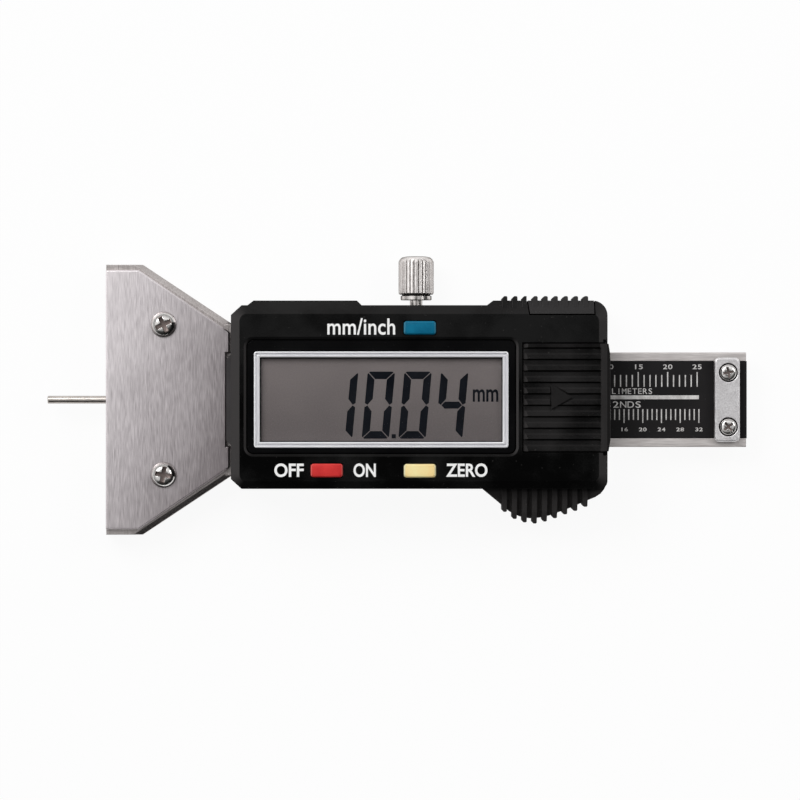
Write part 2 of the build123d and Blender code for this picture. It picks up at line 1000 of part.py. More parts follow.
for edge, inward in ((cover_low, 1), (cover_high, -1)):
    corner = [
        (cover_right + 0.1, edge - inward * 0.1),
        (cover_right - 0.28, edge - inward * 0.1),
        (cover_right, edge + inward * 1.6),
        (cover_right + 0.1, edge + inward * 1.6),
    ]
    cover -= prism(corner, cover_bottom - 1, front_z + 1)
cover += slab(
    cover_left + 0.6,
    cover_right - 2.5,
    cover_low - rail_out,
    cover_high + rail_out,
    cover_bottom,
    cover_bottom + rail_thick,
)
save("battery_cover", cover)
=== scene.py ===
import math
import bpy
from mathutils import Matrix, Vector


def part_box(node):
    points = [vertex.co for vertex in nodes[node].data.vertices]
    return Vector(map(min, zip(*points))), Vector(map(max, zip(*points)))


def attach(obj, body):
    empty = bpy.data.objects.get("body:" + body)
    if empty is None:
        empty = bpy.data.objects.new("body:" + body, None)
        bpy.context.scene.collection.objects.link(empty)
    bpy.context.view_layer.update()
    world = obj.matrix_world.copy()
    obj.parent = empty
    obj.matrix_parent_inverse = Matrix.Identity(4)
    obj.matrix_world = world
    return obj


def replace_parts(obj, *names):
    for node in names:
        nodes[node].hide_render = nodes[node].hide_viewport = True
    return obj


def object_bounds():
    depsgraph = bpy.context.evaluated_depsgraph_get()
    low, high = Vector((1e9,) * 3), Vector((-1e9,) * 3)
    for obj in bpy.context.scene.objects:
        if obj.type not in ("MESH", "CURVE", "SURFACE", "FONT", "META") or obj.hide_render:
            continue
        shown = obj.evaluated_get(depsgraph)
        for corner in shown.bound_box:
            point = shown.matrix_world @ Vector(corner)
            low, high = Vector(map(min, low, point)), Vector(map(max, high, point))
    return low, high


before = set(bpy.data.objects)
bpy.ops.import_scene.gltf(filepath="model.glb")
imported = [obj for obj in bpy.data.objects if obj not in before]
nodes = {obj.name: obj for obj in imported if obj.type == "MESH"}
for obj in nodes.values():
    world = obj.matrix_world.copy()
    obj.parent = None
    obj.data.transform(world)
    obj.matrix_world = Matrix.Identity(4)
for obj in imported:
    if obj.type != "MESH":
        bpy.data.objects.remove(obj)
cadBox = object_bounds()
mm = 0.001
print("frame loaded,", len(nodes), "nodes")


# shader sums and nodes

class Wire:  # one output of a shader node, which may stand in a sum
    def __init__(self, finish, socket):
        self.finish = finish
        self.socket = socket

    def maths(self, operation, first, second):
        return self.finish.node("Math", {"operation": operation}, {0: first, 1: second})

    def __add__(self, other):
        return self.maths("ADD", self, other)

    def __radd__(self, other):
        return self.maths("ADD", other, self)

    def __sub__(self, other):
        return self.maths("SUBTRACT", self, other)

    def __rsub__(self, other):
        return self.maths("SUBTRACT", other, self)

    def __mul__(self, other):
        return self.maths("MULTIPLY", self, other)

    def __rmul__(self, other):
        return self.maths("MULTIPLY", other, self)


def paint(red, green, blue):  # a colour as a screen shows it, 0 to 255
    def linear(value):
        value = value / 255
        return value / 12.92 if value <= 0.04045 else ((value + 0.055) / 1.055) ** 2.4
    return (linear(red), linear(green), linear(blue), 1)


class Finish:
    def __init__(self, name, owner=None):
        self.owner = owner or bpy.data.materials.new(name)
        self.owner.use_nodes = True
        self.tree = self.owner.node_tree
        self.tree.nodes.clear()

    def node(self, kind, settings, values, output=0):
        made = self.tree.nodes.new("ShaderNode" + kind)
        for key, value in settings.items():
            if key == "stops":
                ramp = made.color_ramp
                while len(ramp.elements) < len(value):
                    ramp.elements.new(0.5)
                for element, (position, colour) in zip(ramp.elements, value):
                    element.position = position
                    element.color = colour
            else:
                setattr(made, key, value)
        for key, value in values.items():
            if isinstance(value, Wire):
                self.tree.links.new(value.socket, made.inputs[key])
            else:
                made.inputs[key].default_value = value
        return Wire(self, made.outputs[output]) if len(made.outputs) else None

    def spot(self, stretch=(1, 1, 1)):
        place = self.node("TexCoord", {}, {}, "Object")
        return self.node("Mapping", {}, {"Vector": place, "Scale": stretch})

    def grain(self, size, stretch=(1, 1, 1), detail=3):  # size of a grain in mm
        return self.node(
            "TexNoise", {}, {"Vector": self.spot(stretch), "Scale": 1000 / size, "Detail": detail}
        )

    def axis(self, number, vector=None):  # one part of a vector, or else of the place in metres
        vector = vector or self.node("TexCoord", {}, {}, "Object")
        return self.node("SeparateXYZ", {}, {0: vector}, number)

    def range(self, wire, low, high, first, last):
        return self.node(
            "MapRange", {}, {0: wire, 1: low, 2: high, 3: first, 4: last}
        )

    def mix(self, share, first, second):
        return self.node("Mix", {"data_type": "RGBA"}, {0: share, 6: first, 7: second}, 2)

    def rounded(self, radius):  # softens every edge by this radius in mm
        return self.node("Bevel", {"samples": 6}, {"Radius": radius * mm})

    def relief(self, height, depth, edge):  # depth in mm
        return self.node(
            "Bump", {}, {"Height": height, "Distance": depth * mm, "Strength": 1.0, "Normal": edge}
        )

    def shade(self, values):
        surface = self.node("BsdfPrincipled", {}, values)
        self.node("OutputMaterial", {}, {"Surface": surface})
        return self


# finishes

def brushedSteel(name, settings):
    finish = Finish(name)
    lines = finish.grain(settings["line"], settings["stretch"], 4)
    cloud = finish.grain(settings["cloud"], (1, 1, 1), 2)
    share = finish.range(lines * 0.7 + cloud * 0.3, 0.35, 0.65, 0.0, 1.0)
    if "lean" in settings:  # painted light and shade: how the tone changes per metre along x and y, darker towards the housing and lighter towards +y, then its middle and its mottle
        east, north, middle, mottle = settings["lean"]
        share = finish.axis(0) * east + finish.axis(1) * north + share * mottle + middle
    tone = finish.mix(share, settings["dark"], settings["light"])
    if "grooves" in settings:  # painted shade between teeth: axis x, root and tip radius, end on y, in mm
        middle, root, tip, end = settings["grooves"]
        east, high = finish.axis(0) - middle * mm, finish.axis(2)
        apart = finish.node("Math", {"operation": "SQRT"}, {0: east * east + high * high})
        unshaded = finish.range(apart, root * mm, tip * mm, 0.0, 1.0)
        unshaded = unshaded + finish.range(finish.axis(1), end * mm, (end + 0.1) * mm, 0.0, 1.0)
        tone = finish.mix(unshaded, paint(112, 106, 104), tone)
    if "flankShade" in settings:  # painted shade where a round piece turns down to its sides
        tilt = finish.axis(2, finish.rounded(settings["edge"]))
        tone = finish.mix(finish.range(tilt * tilt, 0.01, 0.24, 0.0, 1.0), settings["flankShade"], tone)
    if "pitShade" in settings:  # painted shade: dark below the first height, clear above the second, in mm
        low, high = settings["pitShade"]
        above = finish.range(finish.axis(2), low * mm, high * mm, 0.0, 1.0)
        tone = finish.mix(above, paint(22, 20, 20), tone)
    if "gapShade" in settings:  # painted shade in the groove between two places along y
        start, end = settings["gapShade"]
        soft = 0.00002
        inside = finish.range(finish.axis(1), start * mm - soft, start * mm, 0.0, 1.0)
        inside = inside * finish.range(finish.axis(1), end * mm, end * mm + soft, 1.0, 0.0)
        tone = finish.mix(inside, tone, paint(14, 12, 12))
    rim = settings.get("rim", 1.0)
    return finish.shade({
        "Base Color": tone,
        "Metallic": 1.0,
        "Specular Tint": (rim, rim * 0.97, rim * 0.95, 1),
        "Roughness": finish.range(lines, 0.3, 0.7, settings["rough"] - 0.05, settings["rough"] + 0.07),
        "Normal": finish.relief(lines, settings["depth"], finish.rounded(settings["edge"])),
    })


def mouldedPlastic(name, settings):
    finish = Finish(name)
    spark = finish.grain(settings["spark"], (1, 1, 1), 4)
    rub = finish.grain(settings.get("rub", 9), (1, 1, 1), 3)
    dust = finish.range(finish.grain(0.35, (1, 1, 1), 1), 0.76, 0.8, 0.0, settings.get("dust", 0.25))
    worn = rub + spark * 0.4 - 0.2
    if "paintedLight" in settings:  # painted light: lighter towards +y, the side the light comes from, and lighter on the low walls
        walls = finish.range(finish.axis(2), 0.0085, 0.006, 0.0, 0.25)
        # from here the tone sum holds painted light besides the random rub
        worn = worn + finish.axis(1) * settings["paintedLight"] + walls
    share = finish.range(worn, 0.35, 0.65, 0.0, 1.0)
    tone = finish.mix(share, settings["dark"], settings["light"])
    if "floor" in settings:  # painted shade in the grooves: dark below the first height, none above the second, in mm
        low, high = settings["floor"]
        tone = finish.mix(finish.range(finish.axis(2), low * mm, high * mm, 0.0, 1.0), settings["dark"], tone)
    # painted highlight on the bevels, strongest where they face the light from the left, the right and +y
    if "paintedHighlight" in settings:
        tilt = finish.axis(2, finish.rounded(settings["edge"]))
        slope = finish.range(tilt, 0.985, 0.85, 0.0, 1.0) * finish.range(tilt, 0.1, 0.5, 0.0, 1.0)
        side = finish.axis(0, finish.rounded(settings["edge"]))
        towardLight = side * side * 1.75 - side * 0.15 + finish.axis(1, finish.rounded(settings["edge"])) * 0.24
        tone = finish.mix(slope * towardLight, tone, settings["paintedHighlight"])
    if "lobe" in settings:  # painted highlight on the thumb grip's ribs, below this place on y in mm
        start = settings["lobe"]
        below = finish.range(finish.axis(1), start * mm, (start - 0.8) * mm, 0.0, 1.0)
        tone = finish.mix(below, tone, settings["paintedHighlight"])
    return finish.shade({
        "Base Color": finish.mix(dust, tone, paint(120, 118, 116)),
        "Roughness": finish.range(rub, 0.3, 0.7, settings["rough"] - 0.05, settings["rough"] + 0.06),
        "Specular IOR Level": settings.get("gloss", 0.3),
        "Normal": finish.relief(spark, settings["depth"], finish.rounded(settings["edge"])),
    })


machinedSteel = brushedSteel("machinedSteel", {
    "line": 0.12, "stretch": (1, 0.08, 1), "cloud": 6, "depth": 0.004, "edge": 0.15, "rough": 0.34,
    "dark": paint(176, 169, 167), "light": paint(205, 199, 197),
})
brushedPlate = brushedSteel("brushedPlate", {
    "line": 0.06, "stretch": (1, 0.03, 1), "cloud": 9, "depth": 0.003, "edge": 0.1, "rough": 0.33,
    # painted shade darkens the plate towards the housing and painted light lightens it towards +y
    "dark": paint(158, 150, 152), "light": paint(255, 248, 250), "lean": (-35, 13, 0.63, 0.34),
})
probeSteel = brushedSteel("probeSteel", {
    "line": 0.1, "stretch": (0.1, 1, 1), "cloud": 3, "depth": 0.003, "edge": 0.08, "rough": 0.3,
    "dark": paint(184, 177, 172), "light": paint(230, 223, 216), "flankShade": paint(104, 97, 94), "rim": 0.6,
})
beamSteel = brushedSteel("beamSteel", {
    "line": 0.12, "stretch": (0.05, 1, 1), "cloud": 5, "depth": 0.004, "edge": 0.1, "rough": 0.42,
    "dark": paint(200, 194, 192), "light": paint(224, 219, 217),
})
stopSteel = brushedSteel("stopSteel", {
    "line": 0.18, "stretch": (1, 1, 1), "cloud": 2, "depth": 0.006, "edge": 0.16, "rough": 0.36,
    "dark": paint(222, 219, 220), "light": paint(250, 248, 249), "pitShade": (2.55, 2.75),
})
screwSteel = brushedSteel("screwSteel", {
    "line": 0.3, "stretch": (1, 1, 1), "cloud": 1, "depth": 0.002, "edge": 0.05, "rough": 0.1,
    "dark": paint(208, 205, 202), "light": paint(238, 236, 234), "flankShade": paint(40, 37, 36), "rim": 0.3,
})
knurlNickel = brushedSteel("knurlNickel", {
    "line": 0.25, "stretch": (1, 0.3, 1), "cloud": 1.5, "depth": 0.0001, "edge": 0.01, "rough": 0.34,
    "dark": paint(224, 218, 215), "light": paint(248, 244, 242), "grooves": (52.6, 2.7, 2.88, 23.3),
    "flankShade": paint(150, 145, 142), "rim": 0.5,
})
knobNickel = brushedSteel("knobNickel", {
    "line": 0.2, "stretch": (1, 0.3, 1), "cloud": 1.5, "depth": 0.001, "edge": 0.03, "rough": 0.18,
    "dark": paint(206, 200, 196), "light": paint(236, 232, 229), "flankShade": paint(70, 66, 64),
    "gapShade": (17.66, 17.86), "rim": 0.3,
})
innerSteel = brushedSteel("innerSteel", {
    "line": 0.2, "stretch": (1, 1, 1), "cloud": 2, "depth": 0.004, "edge": 0.05, "rough": 0.4,
    "dark": paint(120, 118, 116), "light": paint(160, 158, 155),
})
gibBronze = brushedSteel("gibBronze", {
    "line": 0.2, "stretch": (0.1, 1, 1), "cloud": 4, "depth": 0.004, "edge": 0.06, "rough": 0.36,
    "dark": paint(176, 122, 66), "light": paint(208, 154, 92),
})
padBrass = brushedSteel("padBrass", {
    "line": 0.15, "stretch": (1, 0.2, 1), "cloud": 1, "depth": 0.003, "edge": 0.05, "rough": 0.32,
    "dark": paint(196, 160, 84), "light": paint(226, 194, 118),
})
springMetal = brushedSteel("springMetal", {
    "line": 0.15, "stretch": (1, 1, 1), "cloud": 1, "depth": 0.002, "edge": 0.04, "rough": 0.26,
    "dark": paint(196, 190, 170), "light": paint(226, 222, 206),
})
cellCase = brushedSteel("cellCase", {
    "line": 0.4, "stretch": (1, 1, 1), "cloud": 3, "depth": 0.002, "edge": 0.2, "rough": 0.22,
    "dark": paint(190, 190, 192), "light": paint(222, 222, 224),
})
# painted light towards +y, and painted highlights on the bevels and the thumb grip
housingPlastic = mouldedPlastic("housingPlastic", {
    "spark": 0.19, "depth": 0.009, "edge": 0.16, "rough": 0.46, "gloss": 0.008, "paintedLight": 8.5, "lobe": -14.9,
    "dark": paint(6, 6, 6), "light": paint(30, 30, 30), "paintedHighlight": paint(66, 64, 64),
})
# painted shade in the grooves and painted highlights on the bevels
coverPlastic = mouldedPlastic("coverPlastic", {
    "spark": 0.19, "depth": 0.009, "edge": 0.1, "rough": 0.46, "gloss": 0.04, "floor": (10.3, 10.5),
    "dark": paint(5, 5, 5), "light": paint(35, 34, 34), "paintedHighlight": paint(66, 64, 64),
})
carrierPlastic = mouldedPlastic("carrierPlastic", {
    "spark": 0.15, "depth": 0.006, "edge": 0.1, "rough": 0.5, "gloss": 0.3,
    "dark": paint(54, 51, 52), "light": paint(68, 65, 66),
})
glossBlack = mouldedPlastic("glossBlack", {
    "spark": 0.6, "depth": 0.002, "edge": 0.12, "rough": 0.14, "gloss": 0.16, "dust": 0.12,
    "dark": paint(6, 6, 7), "light": paint(10, 10, 11),
})
portRubber = mouldedPlastic("portRubber", {
    "spark": 0.14, "depth": 0.009, "edge": 0.1, "rough": 0.6, "gloss": 0.15,
    "dark": paint(26, 25, 26), "light": paint(36, 35, 35), "paintedHighlight": paint(72, 70, 70),
})
resinBlack = mouldedPlastic("resinBlack", {
    "spark": 0.5, "depth": 0.01, "edge": 0.1, "rough": 0.25, "gloss": 0.4,
    "dark": paint(10, 10, 10), "light": paint(16, 16, 16),
})
connectorPlastic = mouldedPlastic("connectorPlastic", {
    "spark": 0.2, "depth": 0.004, "edge": 0.05, "rough": 0.4, "gloss": 0.4,
    "dark": paint(205, 196, 178), "light": paint(222, 214, 198),
})
keyPlastic = {
    "spark": 0.14, "depth": 0.006, "edge": 0.16, "rough": 0.42, "gloss": 0.12, "dust": 0.1, "rub": 3,
}
blueKey = mouldedPlastic("blueKey", {
    **keyPlastic,
    "dark": paint(4, 92, 124), "light": paint(8, 112, 146), "paintedHighlight": paint(70, 140, 168),
})
redKey = mouldedPlastic("redKey", {
    **keyPlastic,
    "dark": paint(202, 50, 50), "light": paint(222, 62, 60), "paintedHighlight": paint(236, 104, 100),
})
yellowKey = mouldedPlastic("yellowKey", {
    **keyPlastic,
    "dark": paint(255, 226, 158), "light": paint(255, 242, 180), "paintedHighlight": paint(255, 250, 206),
})
labelBlack = mouldedPlastic("labelBlack", {
    "spark": 0.2, "depth": 0.003, "edge": 0.03, "rough": 0.5, "gloss": 0.15,
    "dark": paint(20, 19, 20), "light": paint(29, 27, 28),
})
whitePrint = mouldedPlastic("whitePrint", {
    "spark": 0.2, "depth": 0.002, "edge": 0.01, "rough": 0.55, "gloss": 0.3, "dust": 0.0, "rub": 1.2,
    "dark": paint(248, 248, 247), "light": paint(255, 255, 254),
})
greyPrint = mouldedPlastic("greyPrint", {
    "spark": 0.2, "depth": 0.002, "edge": 0.01, "rough": 0.5, "gloss": 0.3, "dust": 0.0, "rub": 0.9,
    "dark": paint(184, 181, 179), "light": paint(222, 220, 218),
})
segmentInk = mouldedPlastic("segmentInk", {
    "spark": 0.3, "depth": 0.001, "edge": 0.02, "rough": 0.5, "gloss": 0.02, "dust": 0.0, "rub": 2,
    "dark": paint(10, 13, 19), "light": paint(17, 20, 26),
})


def recessMetal():  # painted shade inside the cross of a screw: dark walls, and a darker, duller floor
    finish = Finish("recessMetal")
    soot = finish.grain(0.25, (1, 1, 1), 3)
    flat = finish.range(finish.axis(2, finish.rounded(0.03)), 0.3, 0.85, 0.0, 0.75)
    return finish.shade({
        "Base Color": finish.mix(flat + soot * 0.3, paint(20, 16, 16), paint(134, 122, 118)),
        "Metallic": 1.0,
        "Roughness": finish.range(soot, 0.3, 0.7, 0.3, 0.45),
        "Normal": finish.relief(soot, 0.01, finish.rounded(0.03)),
    })


def silverFrame():  # bright metal-coated plastic
    finish = Finish("silverFrame")
    flake = finish.grain(0.1, (1, 1, 1), 3)
    sheen = finish.range(finish.grain(4, (1, 1, 1), 2), 0.3, 0.7, 0.0, 1.0)
    # painted shade: the ring's low groove is greyer than its crests
    crest = finish.range(finish.axis(2), 0.01041, 0.0105, 0.0, 1.0)
    coat = finish.mix(sheen, paint(242, 242, 246), paint(253, 253, 255))
    return finish.shade({
        "Base Color": finish.mix(crest, paint(222, 222, 226), coat),
        "Metallic": 0.85,
        "Roughness": finish.range(flake, 0.3, 0.7, 0.28, 0.38),
        "Normal": finish.relief(flake, 0.003, finish.rounded(0.14)),
    })


def displayGlass():  # grey-brown liquid crystal glass, with painted light making it lighter towards its upper edge and a painted shadow inside the ring's edge
    finish = Finish("displayGlass")
    haze = finish.grain(14, (1, 1, 1), 2)
    speck = finish.grain(0.22, (1, 1, 1), 2)
    # painted light: lighter towards +y
    share = finish.range(finish.axis(1) * 44 + haze * 0.8 + speck * 0.7, 0.3, 1.2, 0.0, 1.0)
    east, north = finish.axis(0), finish.axis(1)
    # painted shadow of the ring along the display's top, left and right edges
    ringShadow = finish.range(north, 0.00685, 0.00698, 0.0, 1.0) + finish.range(east, 0.0266, 0.02645, 0.0, 1.0)
    ringShadow = ringShadow + finish.range(east, 0.0669, 0.06703, 0.0, 1.0)
    glass = finish.mix(share, paint(94, 88, 88), paint(120, 113, 112))
    return finish.shade({
        "Base Color": finish.mix(ringShadow, glass, paint(10, 8, 9)),
        "Roughness": finish.range(speck, 0.3, 0.7, 0.36, 0.46),
        "Specular IOR Level": 0.2,
        "Normal": finish.relief(speck, 0.001, finish.rounded(0.05)),
    })


def clearWindow():
    finish = Finish("clearWindow")
    smear = finish.grain(5, (1, 1, 1), 3)
    return finish.shade({
        "Base Color": paint(120, 120, 122),
        "Roughness": finish.range(smear, 0.3, 0.7, 0.04, 0.12),
        "Alpha": finish.range(smear, 0.3, 0.7, 0.01, 0.03),
    })


def boardGreen():  # solder mask with copper tracks under it
    finish = Finish("boardGreen")
    tracks = finish.node(
        "TexBrick", {"offset": 0.37},
        {
            "Vector": finish.spot(), "Scale": 1000.0, "Mortar Size": 0.18,
            "Brick Width": 3.1, "Row Height": 0.8,
        },
        1,
    )
    weave = finish.grain(0.3, (1, 1, 1), 2)
    mask = finish.mix(finish.range(weave, 0.3, 0.7, 0.0, 1.0), paint(14, 74, 44), paint(20, 88, 54))
    return finish.shade({
        "Base Color": finish.mix(tracks, mask, paint(52, 128, 84)),
        "Roughness": finish.range(weave, 0.3, 0.7, 0.28, 0.4),
        "Normal": finish.relief(tracks * 0.5 + weave * 0.2, 0.02, finish.rounded(0.05)),
    })


recess = recessMetal()
silver = silverFrame()
lcd = displayGlass()
clear = clearWindow()
board = boardGreen()

dressing = {
    "slider_frame": machinedSteel, "base_front_plate": brushedPlate, "base_screws": screwSteel,
    "probe_rod": probeSteel, "beam": beamSteel, "grid_board": board, "scale_label": labelBlack,
    "end_stop": stopSteel, "end_stop_screws": screwSteel, "gib_strip": gibBronze,
    "gib_screws": innerSteel, "lock_pad": padBrass, "lock_screw": knobNickel,
    "circuit_board": board, "processor_blob": resinBlack, "sensor_carrier": carrierPlastic,
    "switch_domes": springMetal, "port_connector": connectorPlastic, "display_glass": lcd,
    "contact_strips": portRubber, "display_window": clear, "window_frame": silver,
    "window_surround": glossBlack, "housing": housingPlastic, "housing_screws": innerSteel,
    "port_cover": portRubber, "unit_button": blueKey, "power_button": redKey,
    "zero_button": yellowKey, "battery_cell": cellCase, "negative_contact": springMetal,
    "positive_contact": springMetal, "battery_cover": coverPlastic,
}
for name, finish in dressing.items():
    node = nodes[name]
    if not node.material_slots:
        node.data.materials.append(finish.owner)
    for holder in node.material_slots:
        holder.material = finish.owner
print("finishes on", len(dressing), "nodes")


# modelling helpers

def clearSelection():
    if bpy.context.object and bpy.context.object.mode != "OBJECT":
        bpy.ops.object.mode_set(mode="OBJECT")
    bpy.ops.object.select_all(action="DESELECT")


def take(piece):
    clearSelection()
    piece.select_set(True)
    bpy.context.view_layer.objects.active = piece


def pickFaces(piece, wanted):  # in edit mode, selects the faces for which wanted(centre, normal) holds
    bpy.ops.mesh.select_all(action="DESELECT")
    bpy.ops.object.mode_set(mode="OBJECT")
    for face in piece.data.polygons:
        face.select = wanted(face.center, face.normal)
    bpy.ops.object.mode_set(mode="EDIT")


def settle(piece, name, finish, body):  # names a finished piece and lets it ride
    take(piece)
    bpy.ops.object.transform_apply(location=True, rotation=True, scale=True)
    piece.name = name
    piece.data.name = name
    piece.data.materials.clear()
    piece.data.materials.append(finish.owner)
    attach(piece, body)
    return piece


def written(words, settings):  # words as a mesh, and its corners
    clearSelection()
    bpy.ops.object.text_add()
    piece = bpy.context.object
    piece.data.body = words
    piece.data.size = 10
    piece.data.offset = settings.get("weight", 0.0)
    piece.data.space_character = settings.get("spacing", 1.0)
    piece.data.extrude = 0.5
    piece.data.resolution_u = 6
    bpy.ops.object.convert(target="MESH")
    corners = [v.co for v in piece.data.vertices]
    low = Vector([min(c[i] for c in corners) for i in range(3)])
    high = Vector([max(c[i] for c in corners) for i in range(3)])
    return piece, low, high


def lettering(name, words, settings, finish, body):  # fits the words into left, right, low, high in mm
    thick = settings["thick"] * mm
    piece, low, high = written(words, settings)
    wide = (settings["right"] - settings["left"]) * mm / (high.x - low.x)
    tall = (settings["high"] - settings["low"]) * mm / (high.y - low.y)
    piece.scale = (wide, tall, thick)
    piece.location = (
        settings["left"] * mm - low.x * wide,
        settings["low"] * mm - low.y * tall,
        settings["face"] * mm + thick / 2,
    )
    return welded(piece, name, finish, body)


def evenLettering(name, words, settings, finish, body):  # each letter in a place of the same width
    thick = settings["thick"] * mm
    piece, low, high = written("E", settings)
    wide = settings["wide"] * mm / (high.x - low.x)
    tall = (settings["high"] - settings["low"]) * mm / (high.y - low.y)
    bpy.data.objects.remove(piece, do_unlink=True)
    pieces = []
    for place, letter in enumerate(words):
        piece, low, high = written(letter, settings)
        share = min(wide, settings["pitch"] * 0.86 * mm / (high.x - low.x))
        middle = settings["last"] - settings["pitch"] * (len(words) - 1 - place)
        piece.scale = (share, tall, thick)
        piece.location = (
            middle * mm - (low.x + high.x) / 2 * share,
            settings["low"] * mm,
            settings["face"] * mm + thick / 2,
        )
        pieces.append(piece)
    clearSelection()
    for piece in pieces:
        piece.select_set(True)
    bpy.context.view_layer.objects.active = pieces[0]
    bpy.ops.object.transform_apply(location=True, rotation=True, scale=True)
    bpy.ops.object.join()
    return welded(pieces[0], name, finish, body)


def closed(piece):  # joins the corners that meet and turns the faces outward
    take(piece)
    bpy.ops.object.transform_apply(location=True, rotation=True, scale=True)
    bpy.ops.object.mode_set(mode="EDIT")
    bpy.ops.mesh.select_all(action="SELECT")
    bpy.ops.mesh.remove_doubles(threshold=0.0000003)
    bpy.ops.mesh.normals_make_consistent(inside=False)
    bpy.ops.object.mode_set(mode="OBJECT")


def welded(piece, name, finish, body):  # closes a printed piece and settles it
    closed(piece)
    return settle(piece, name, finish, body)


def combined(piece, other, operation):  # joins, cuts or trims a piece by another, which is used up
    take(piece)
    change = piece.modifiers.new("combined", "BOOLEAN")
    change.operation = operation
    change.solver = "EXACT"
    change.object = other
    bpy.ops.object.modifier_apply(modifier="combined")
    bpy.data.objects.remove(other, do_unlink=True)


def raised(name, outlines, face, thick):  # flat closed outlines in mm, as a plate
    clearSelection()
    curve = bpy.data.curves.new(name, "CURVE")
    curve.dimensions = "2D"
    curve.fill_mode = "BOTH"
    curve.extrude = 0.5
    for outline in outlines:
        spline = curve.splines.new("POLY")
        spline.points.add(len(outline) - 1)
        for point, (x, y) in zip(spline.points, outline):
            point.co = (x, y, 0, 1)
        spline.use_cyclic_u = True
    piece = bpy.data.objects.new(name, curve)
    bpy.context.scene.collection.objects.link(piece)
    take(piece)
    bpy.ops.object.convert(target="MESH")
    piece = bpy.context.object
    piece.scale = (mm, mm, thick * mm)
    piece.location = (0, 0, (face + thick / 2) * mm)
    return piece


def printed(name, outlines, face, thick, finish, body):
    return welded(raised(name, outlines, face, thick), name, finish, body)


def turned(profile, sides):  # a round piece along z, from pairs of height and radius in mm
    height, radius = profile[0]
    clearSelection()
    bpy.ops.mesh.primitive_circle_add(
        vertices=sides, radius=radius * mm, fill_type="NGON", location=(0, 0, height * mm)
    )
    piece = bpy.context.object
    bpy.ops.object.transform_apply(location=True, rotation=False, scale=False)
    bpy.ops.object.mode_set(mode="EDIT")
    bpy.ops.mesh.select_all(action="SELECT")
    for nextHeight, nextRadius in profile[1:]:
        bpy.ops.mesh.extrude_region_move(
            TRANSFORM_OT_translate={"value": (0, 0, (nextHeight - height) * mm)}
        )
        share = nextRadius / radius
        bpy.ops.transform.resize(value=(share, share, 1))
        height, radius = nextHeight, nextRadius
    bpy.ops.mesh.select_all(action="SELECT")
    bpy.ops.mesh.normals_make_consistent(inside=False)
    bpy.ops.object.mode_set(mode="OBJECT")
    return piece


def bar(left, right, low, high):
    return [(left, low), (right, low), (right, high), (left, high)]


# housing lettering

housingPrint = {"face": 10.995, "thick": 0.02, "weight": 0.24}
labels = {
    "unitLabel": ("mm/inch", {
        "left": 37.66, "right": 49.05, "low": 10.9, "high": 13.69, "spacing": 1.03, "weight": 0.13,
    }),
    "offLabel": ("OFF", {"left": 28.75, "right": 33.7, "low": -13.0, "high": -10.7}),
    "onLabel": ("ON", {"left": 42.05, "right": 45.8, "low": -13.0, "high": -10.7}),
    "zeroLabel": ("ZERO", {"left": 57.6, "right": 64.55, "low": -12.98, "high": -10.7}),
}
for name, (words, place) in labels.items():
    lettering(name, words, {**housingPrint, **place}, whitePrint, "gauge_body")
print("housing lettering done")


# display digits

digits = {
    "low": -6.55, "high": 4.73, "wide": 4.6, "pitch": 6.17, "first": 37.23, "bar": 1.26,
    "gap": 0.1, "clip": 0.3, "slant": 0.0914, "reading": "1004",
}
lit = {"0": "abcdef", "1": "bc", "4": "bcfg"}


def segment(letter):  # one bar of a digit, upright, from its lower left corner
    wide, tall, thick = digits["wide"], digits["high"] - digits["low"], digits["bar"]
    gap, clip, middle = digits["gap"], digits["clip"], (digits["high"] - digits["low"]) / 2
    if letter == "a":
        return [
            (gap + clip, tall), (wide - gap - clip, tall), (wide - gap - clip / 2, tall - clip / 2),
            (wide - gap - thick, tall - thick), (gap + thick, tall - thick),
            (gap + clip / 2, tall - clip / 2),
        ]
    if letter == "d":
        return [(x, tall - y) for x, y in segment("a")][::-1]
    if letter == "f":
        return [
            (0, tall - gap - clip), (clip / 2, tall - gap - clip / 2), (thick, tall - thick - gap),
            (thick, middle + gap + thick * 0.75), (thick * 0.36, middle + gap / 2), (0, middle + gap + 0.25),
        ][::-1]
    if letter == "e":
        return [(x, tall - y) for x, y in segment("f")][::-1]
    if letter in "bc":
        return [(wide - x, y) for x, y in segment("f" if letter == "b" else "e")][::-1]
    tip, reach = gap * 5.6, thick * 0.46
    return [
        (tip, middle), (tip + reach, middle - reach), (wide - tip - reach, middle - reach),
        (wide - tip, middle), (wide - tip - reach, middle + reach), (tip + reach, middle + reach),
    ]


bars = []
for place, digit in enumerate(digits["reading"]):
    start = digits["first"] + digits["pitch"] * place
    for letter in lit[digit]:
        bars.append([
            (start + x + y * digits["slant"], digits["low"] + y) for x, y in segment(letter)
        ])
bars.append(bar(48.45, 49.15, -6.5, -5.8))  # decimal point
printed("displayDigits", bars, 9.45, 0.012, segmentInk, "gauge_body")
lettering(
    "displayUnit", "mm",
    {"left": 62.1, "right": 66.4, "low": -0.34, "high": 1.76, "face": 9.45, "thick": 0.012, "weight": 0.18},
    segmentInk, "gauge_body",
)
print("display digits done")


# silver ring round the display

ringShape = {
    "left": 25.3, "right": 68.1, "half": 8.1, "low": 9.8, "high": 10.55, "corner": 0.5,
    "crown": 0.065, "slack": 0.004,
    "profile": (  # inward step and height above the last ring of edges, in mm
        (0.05, 0.045), (0.06, 0.02), (0.17, 0.0), (0.08, -0.12), (0.05, -0.04), (0.12, 0.0), (0.05, 0.04),
        (0.08, 0.12), (0.23, 0.0), (0.05, -0.02), (0.05, -0.05),
    ),
}


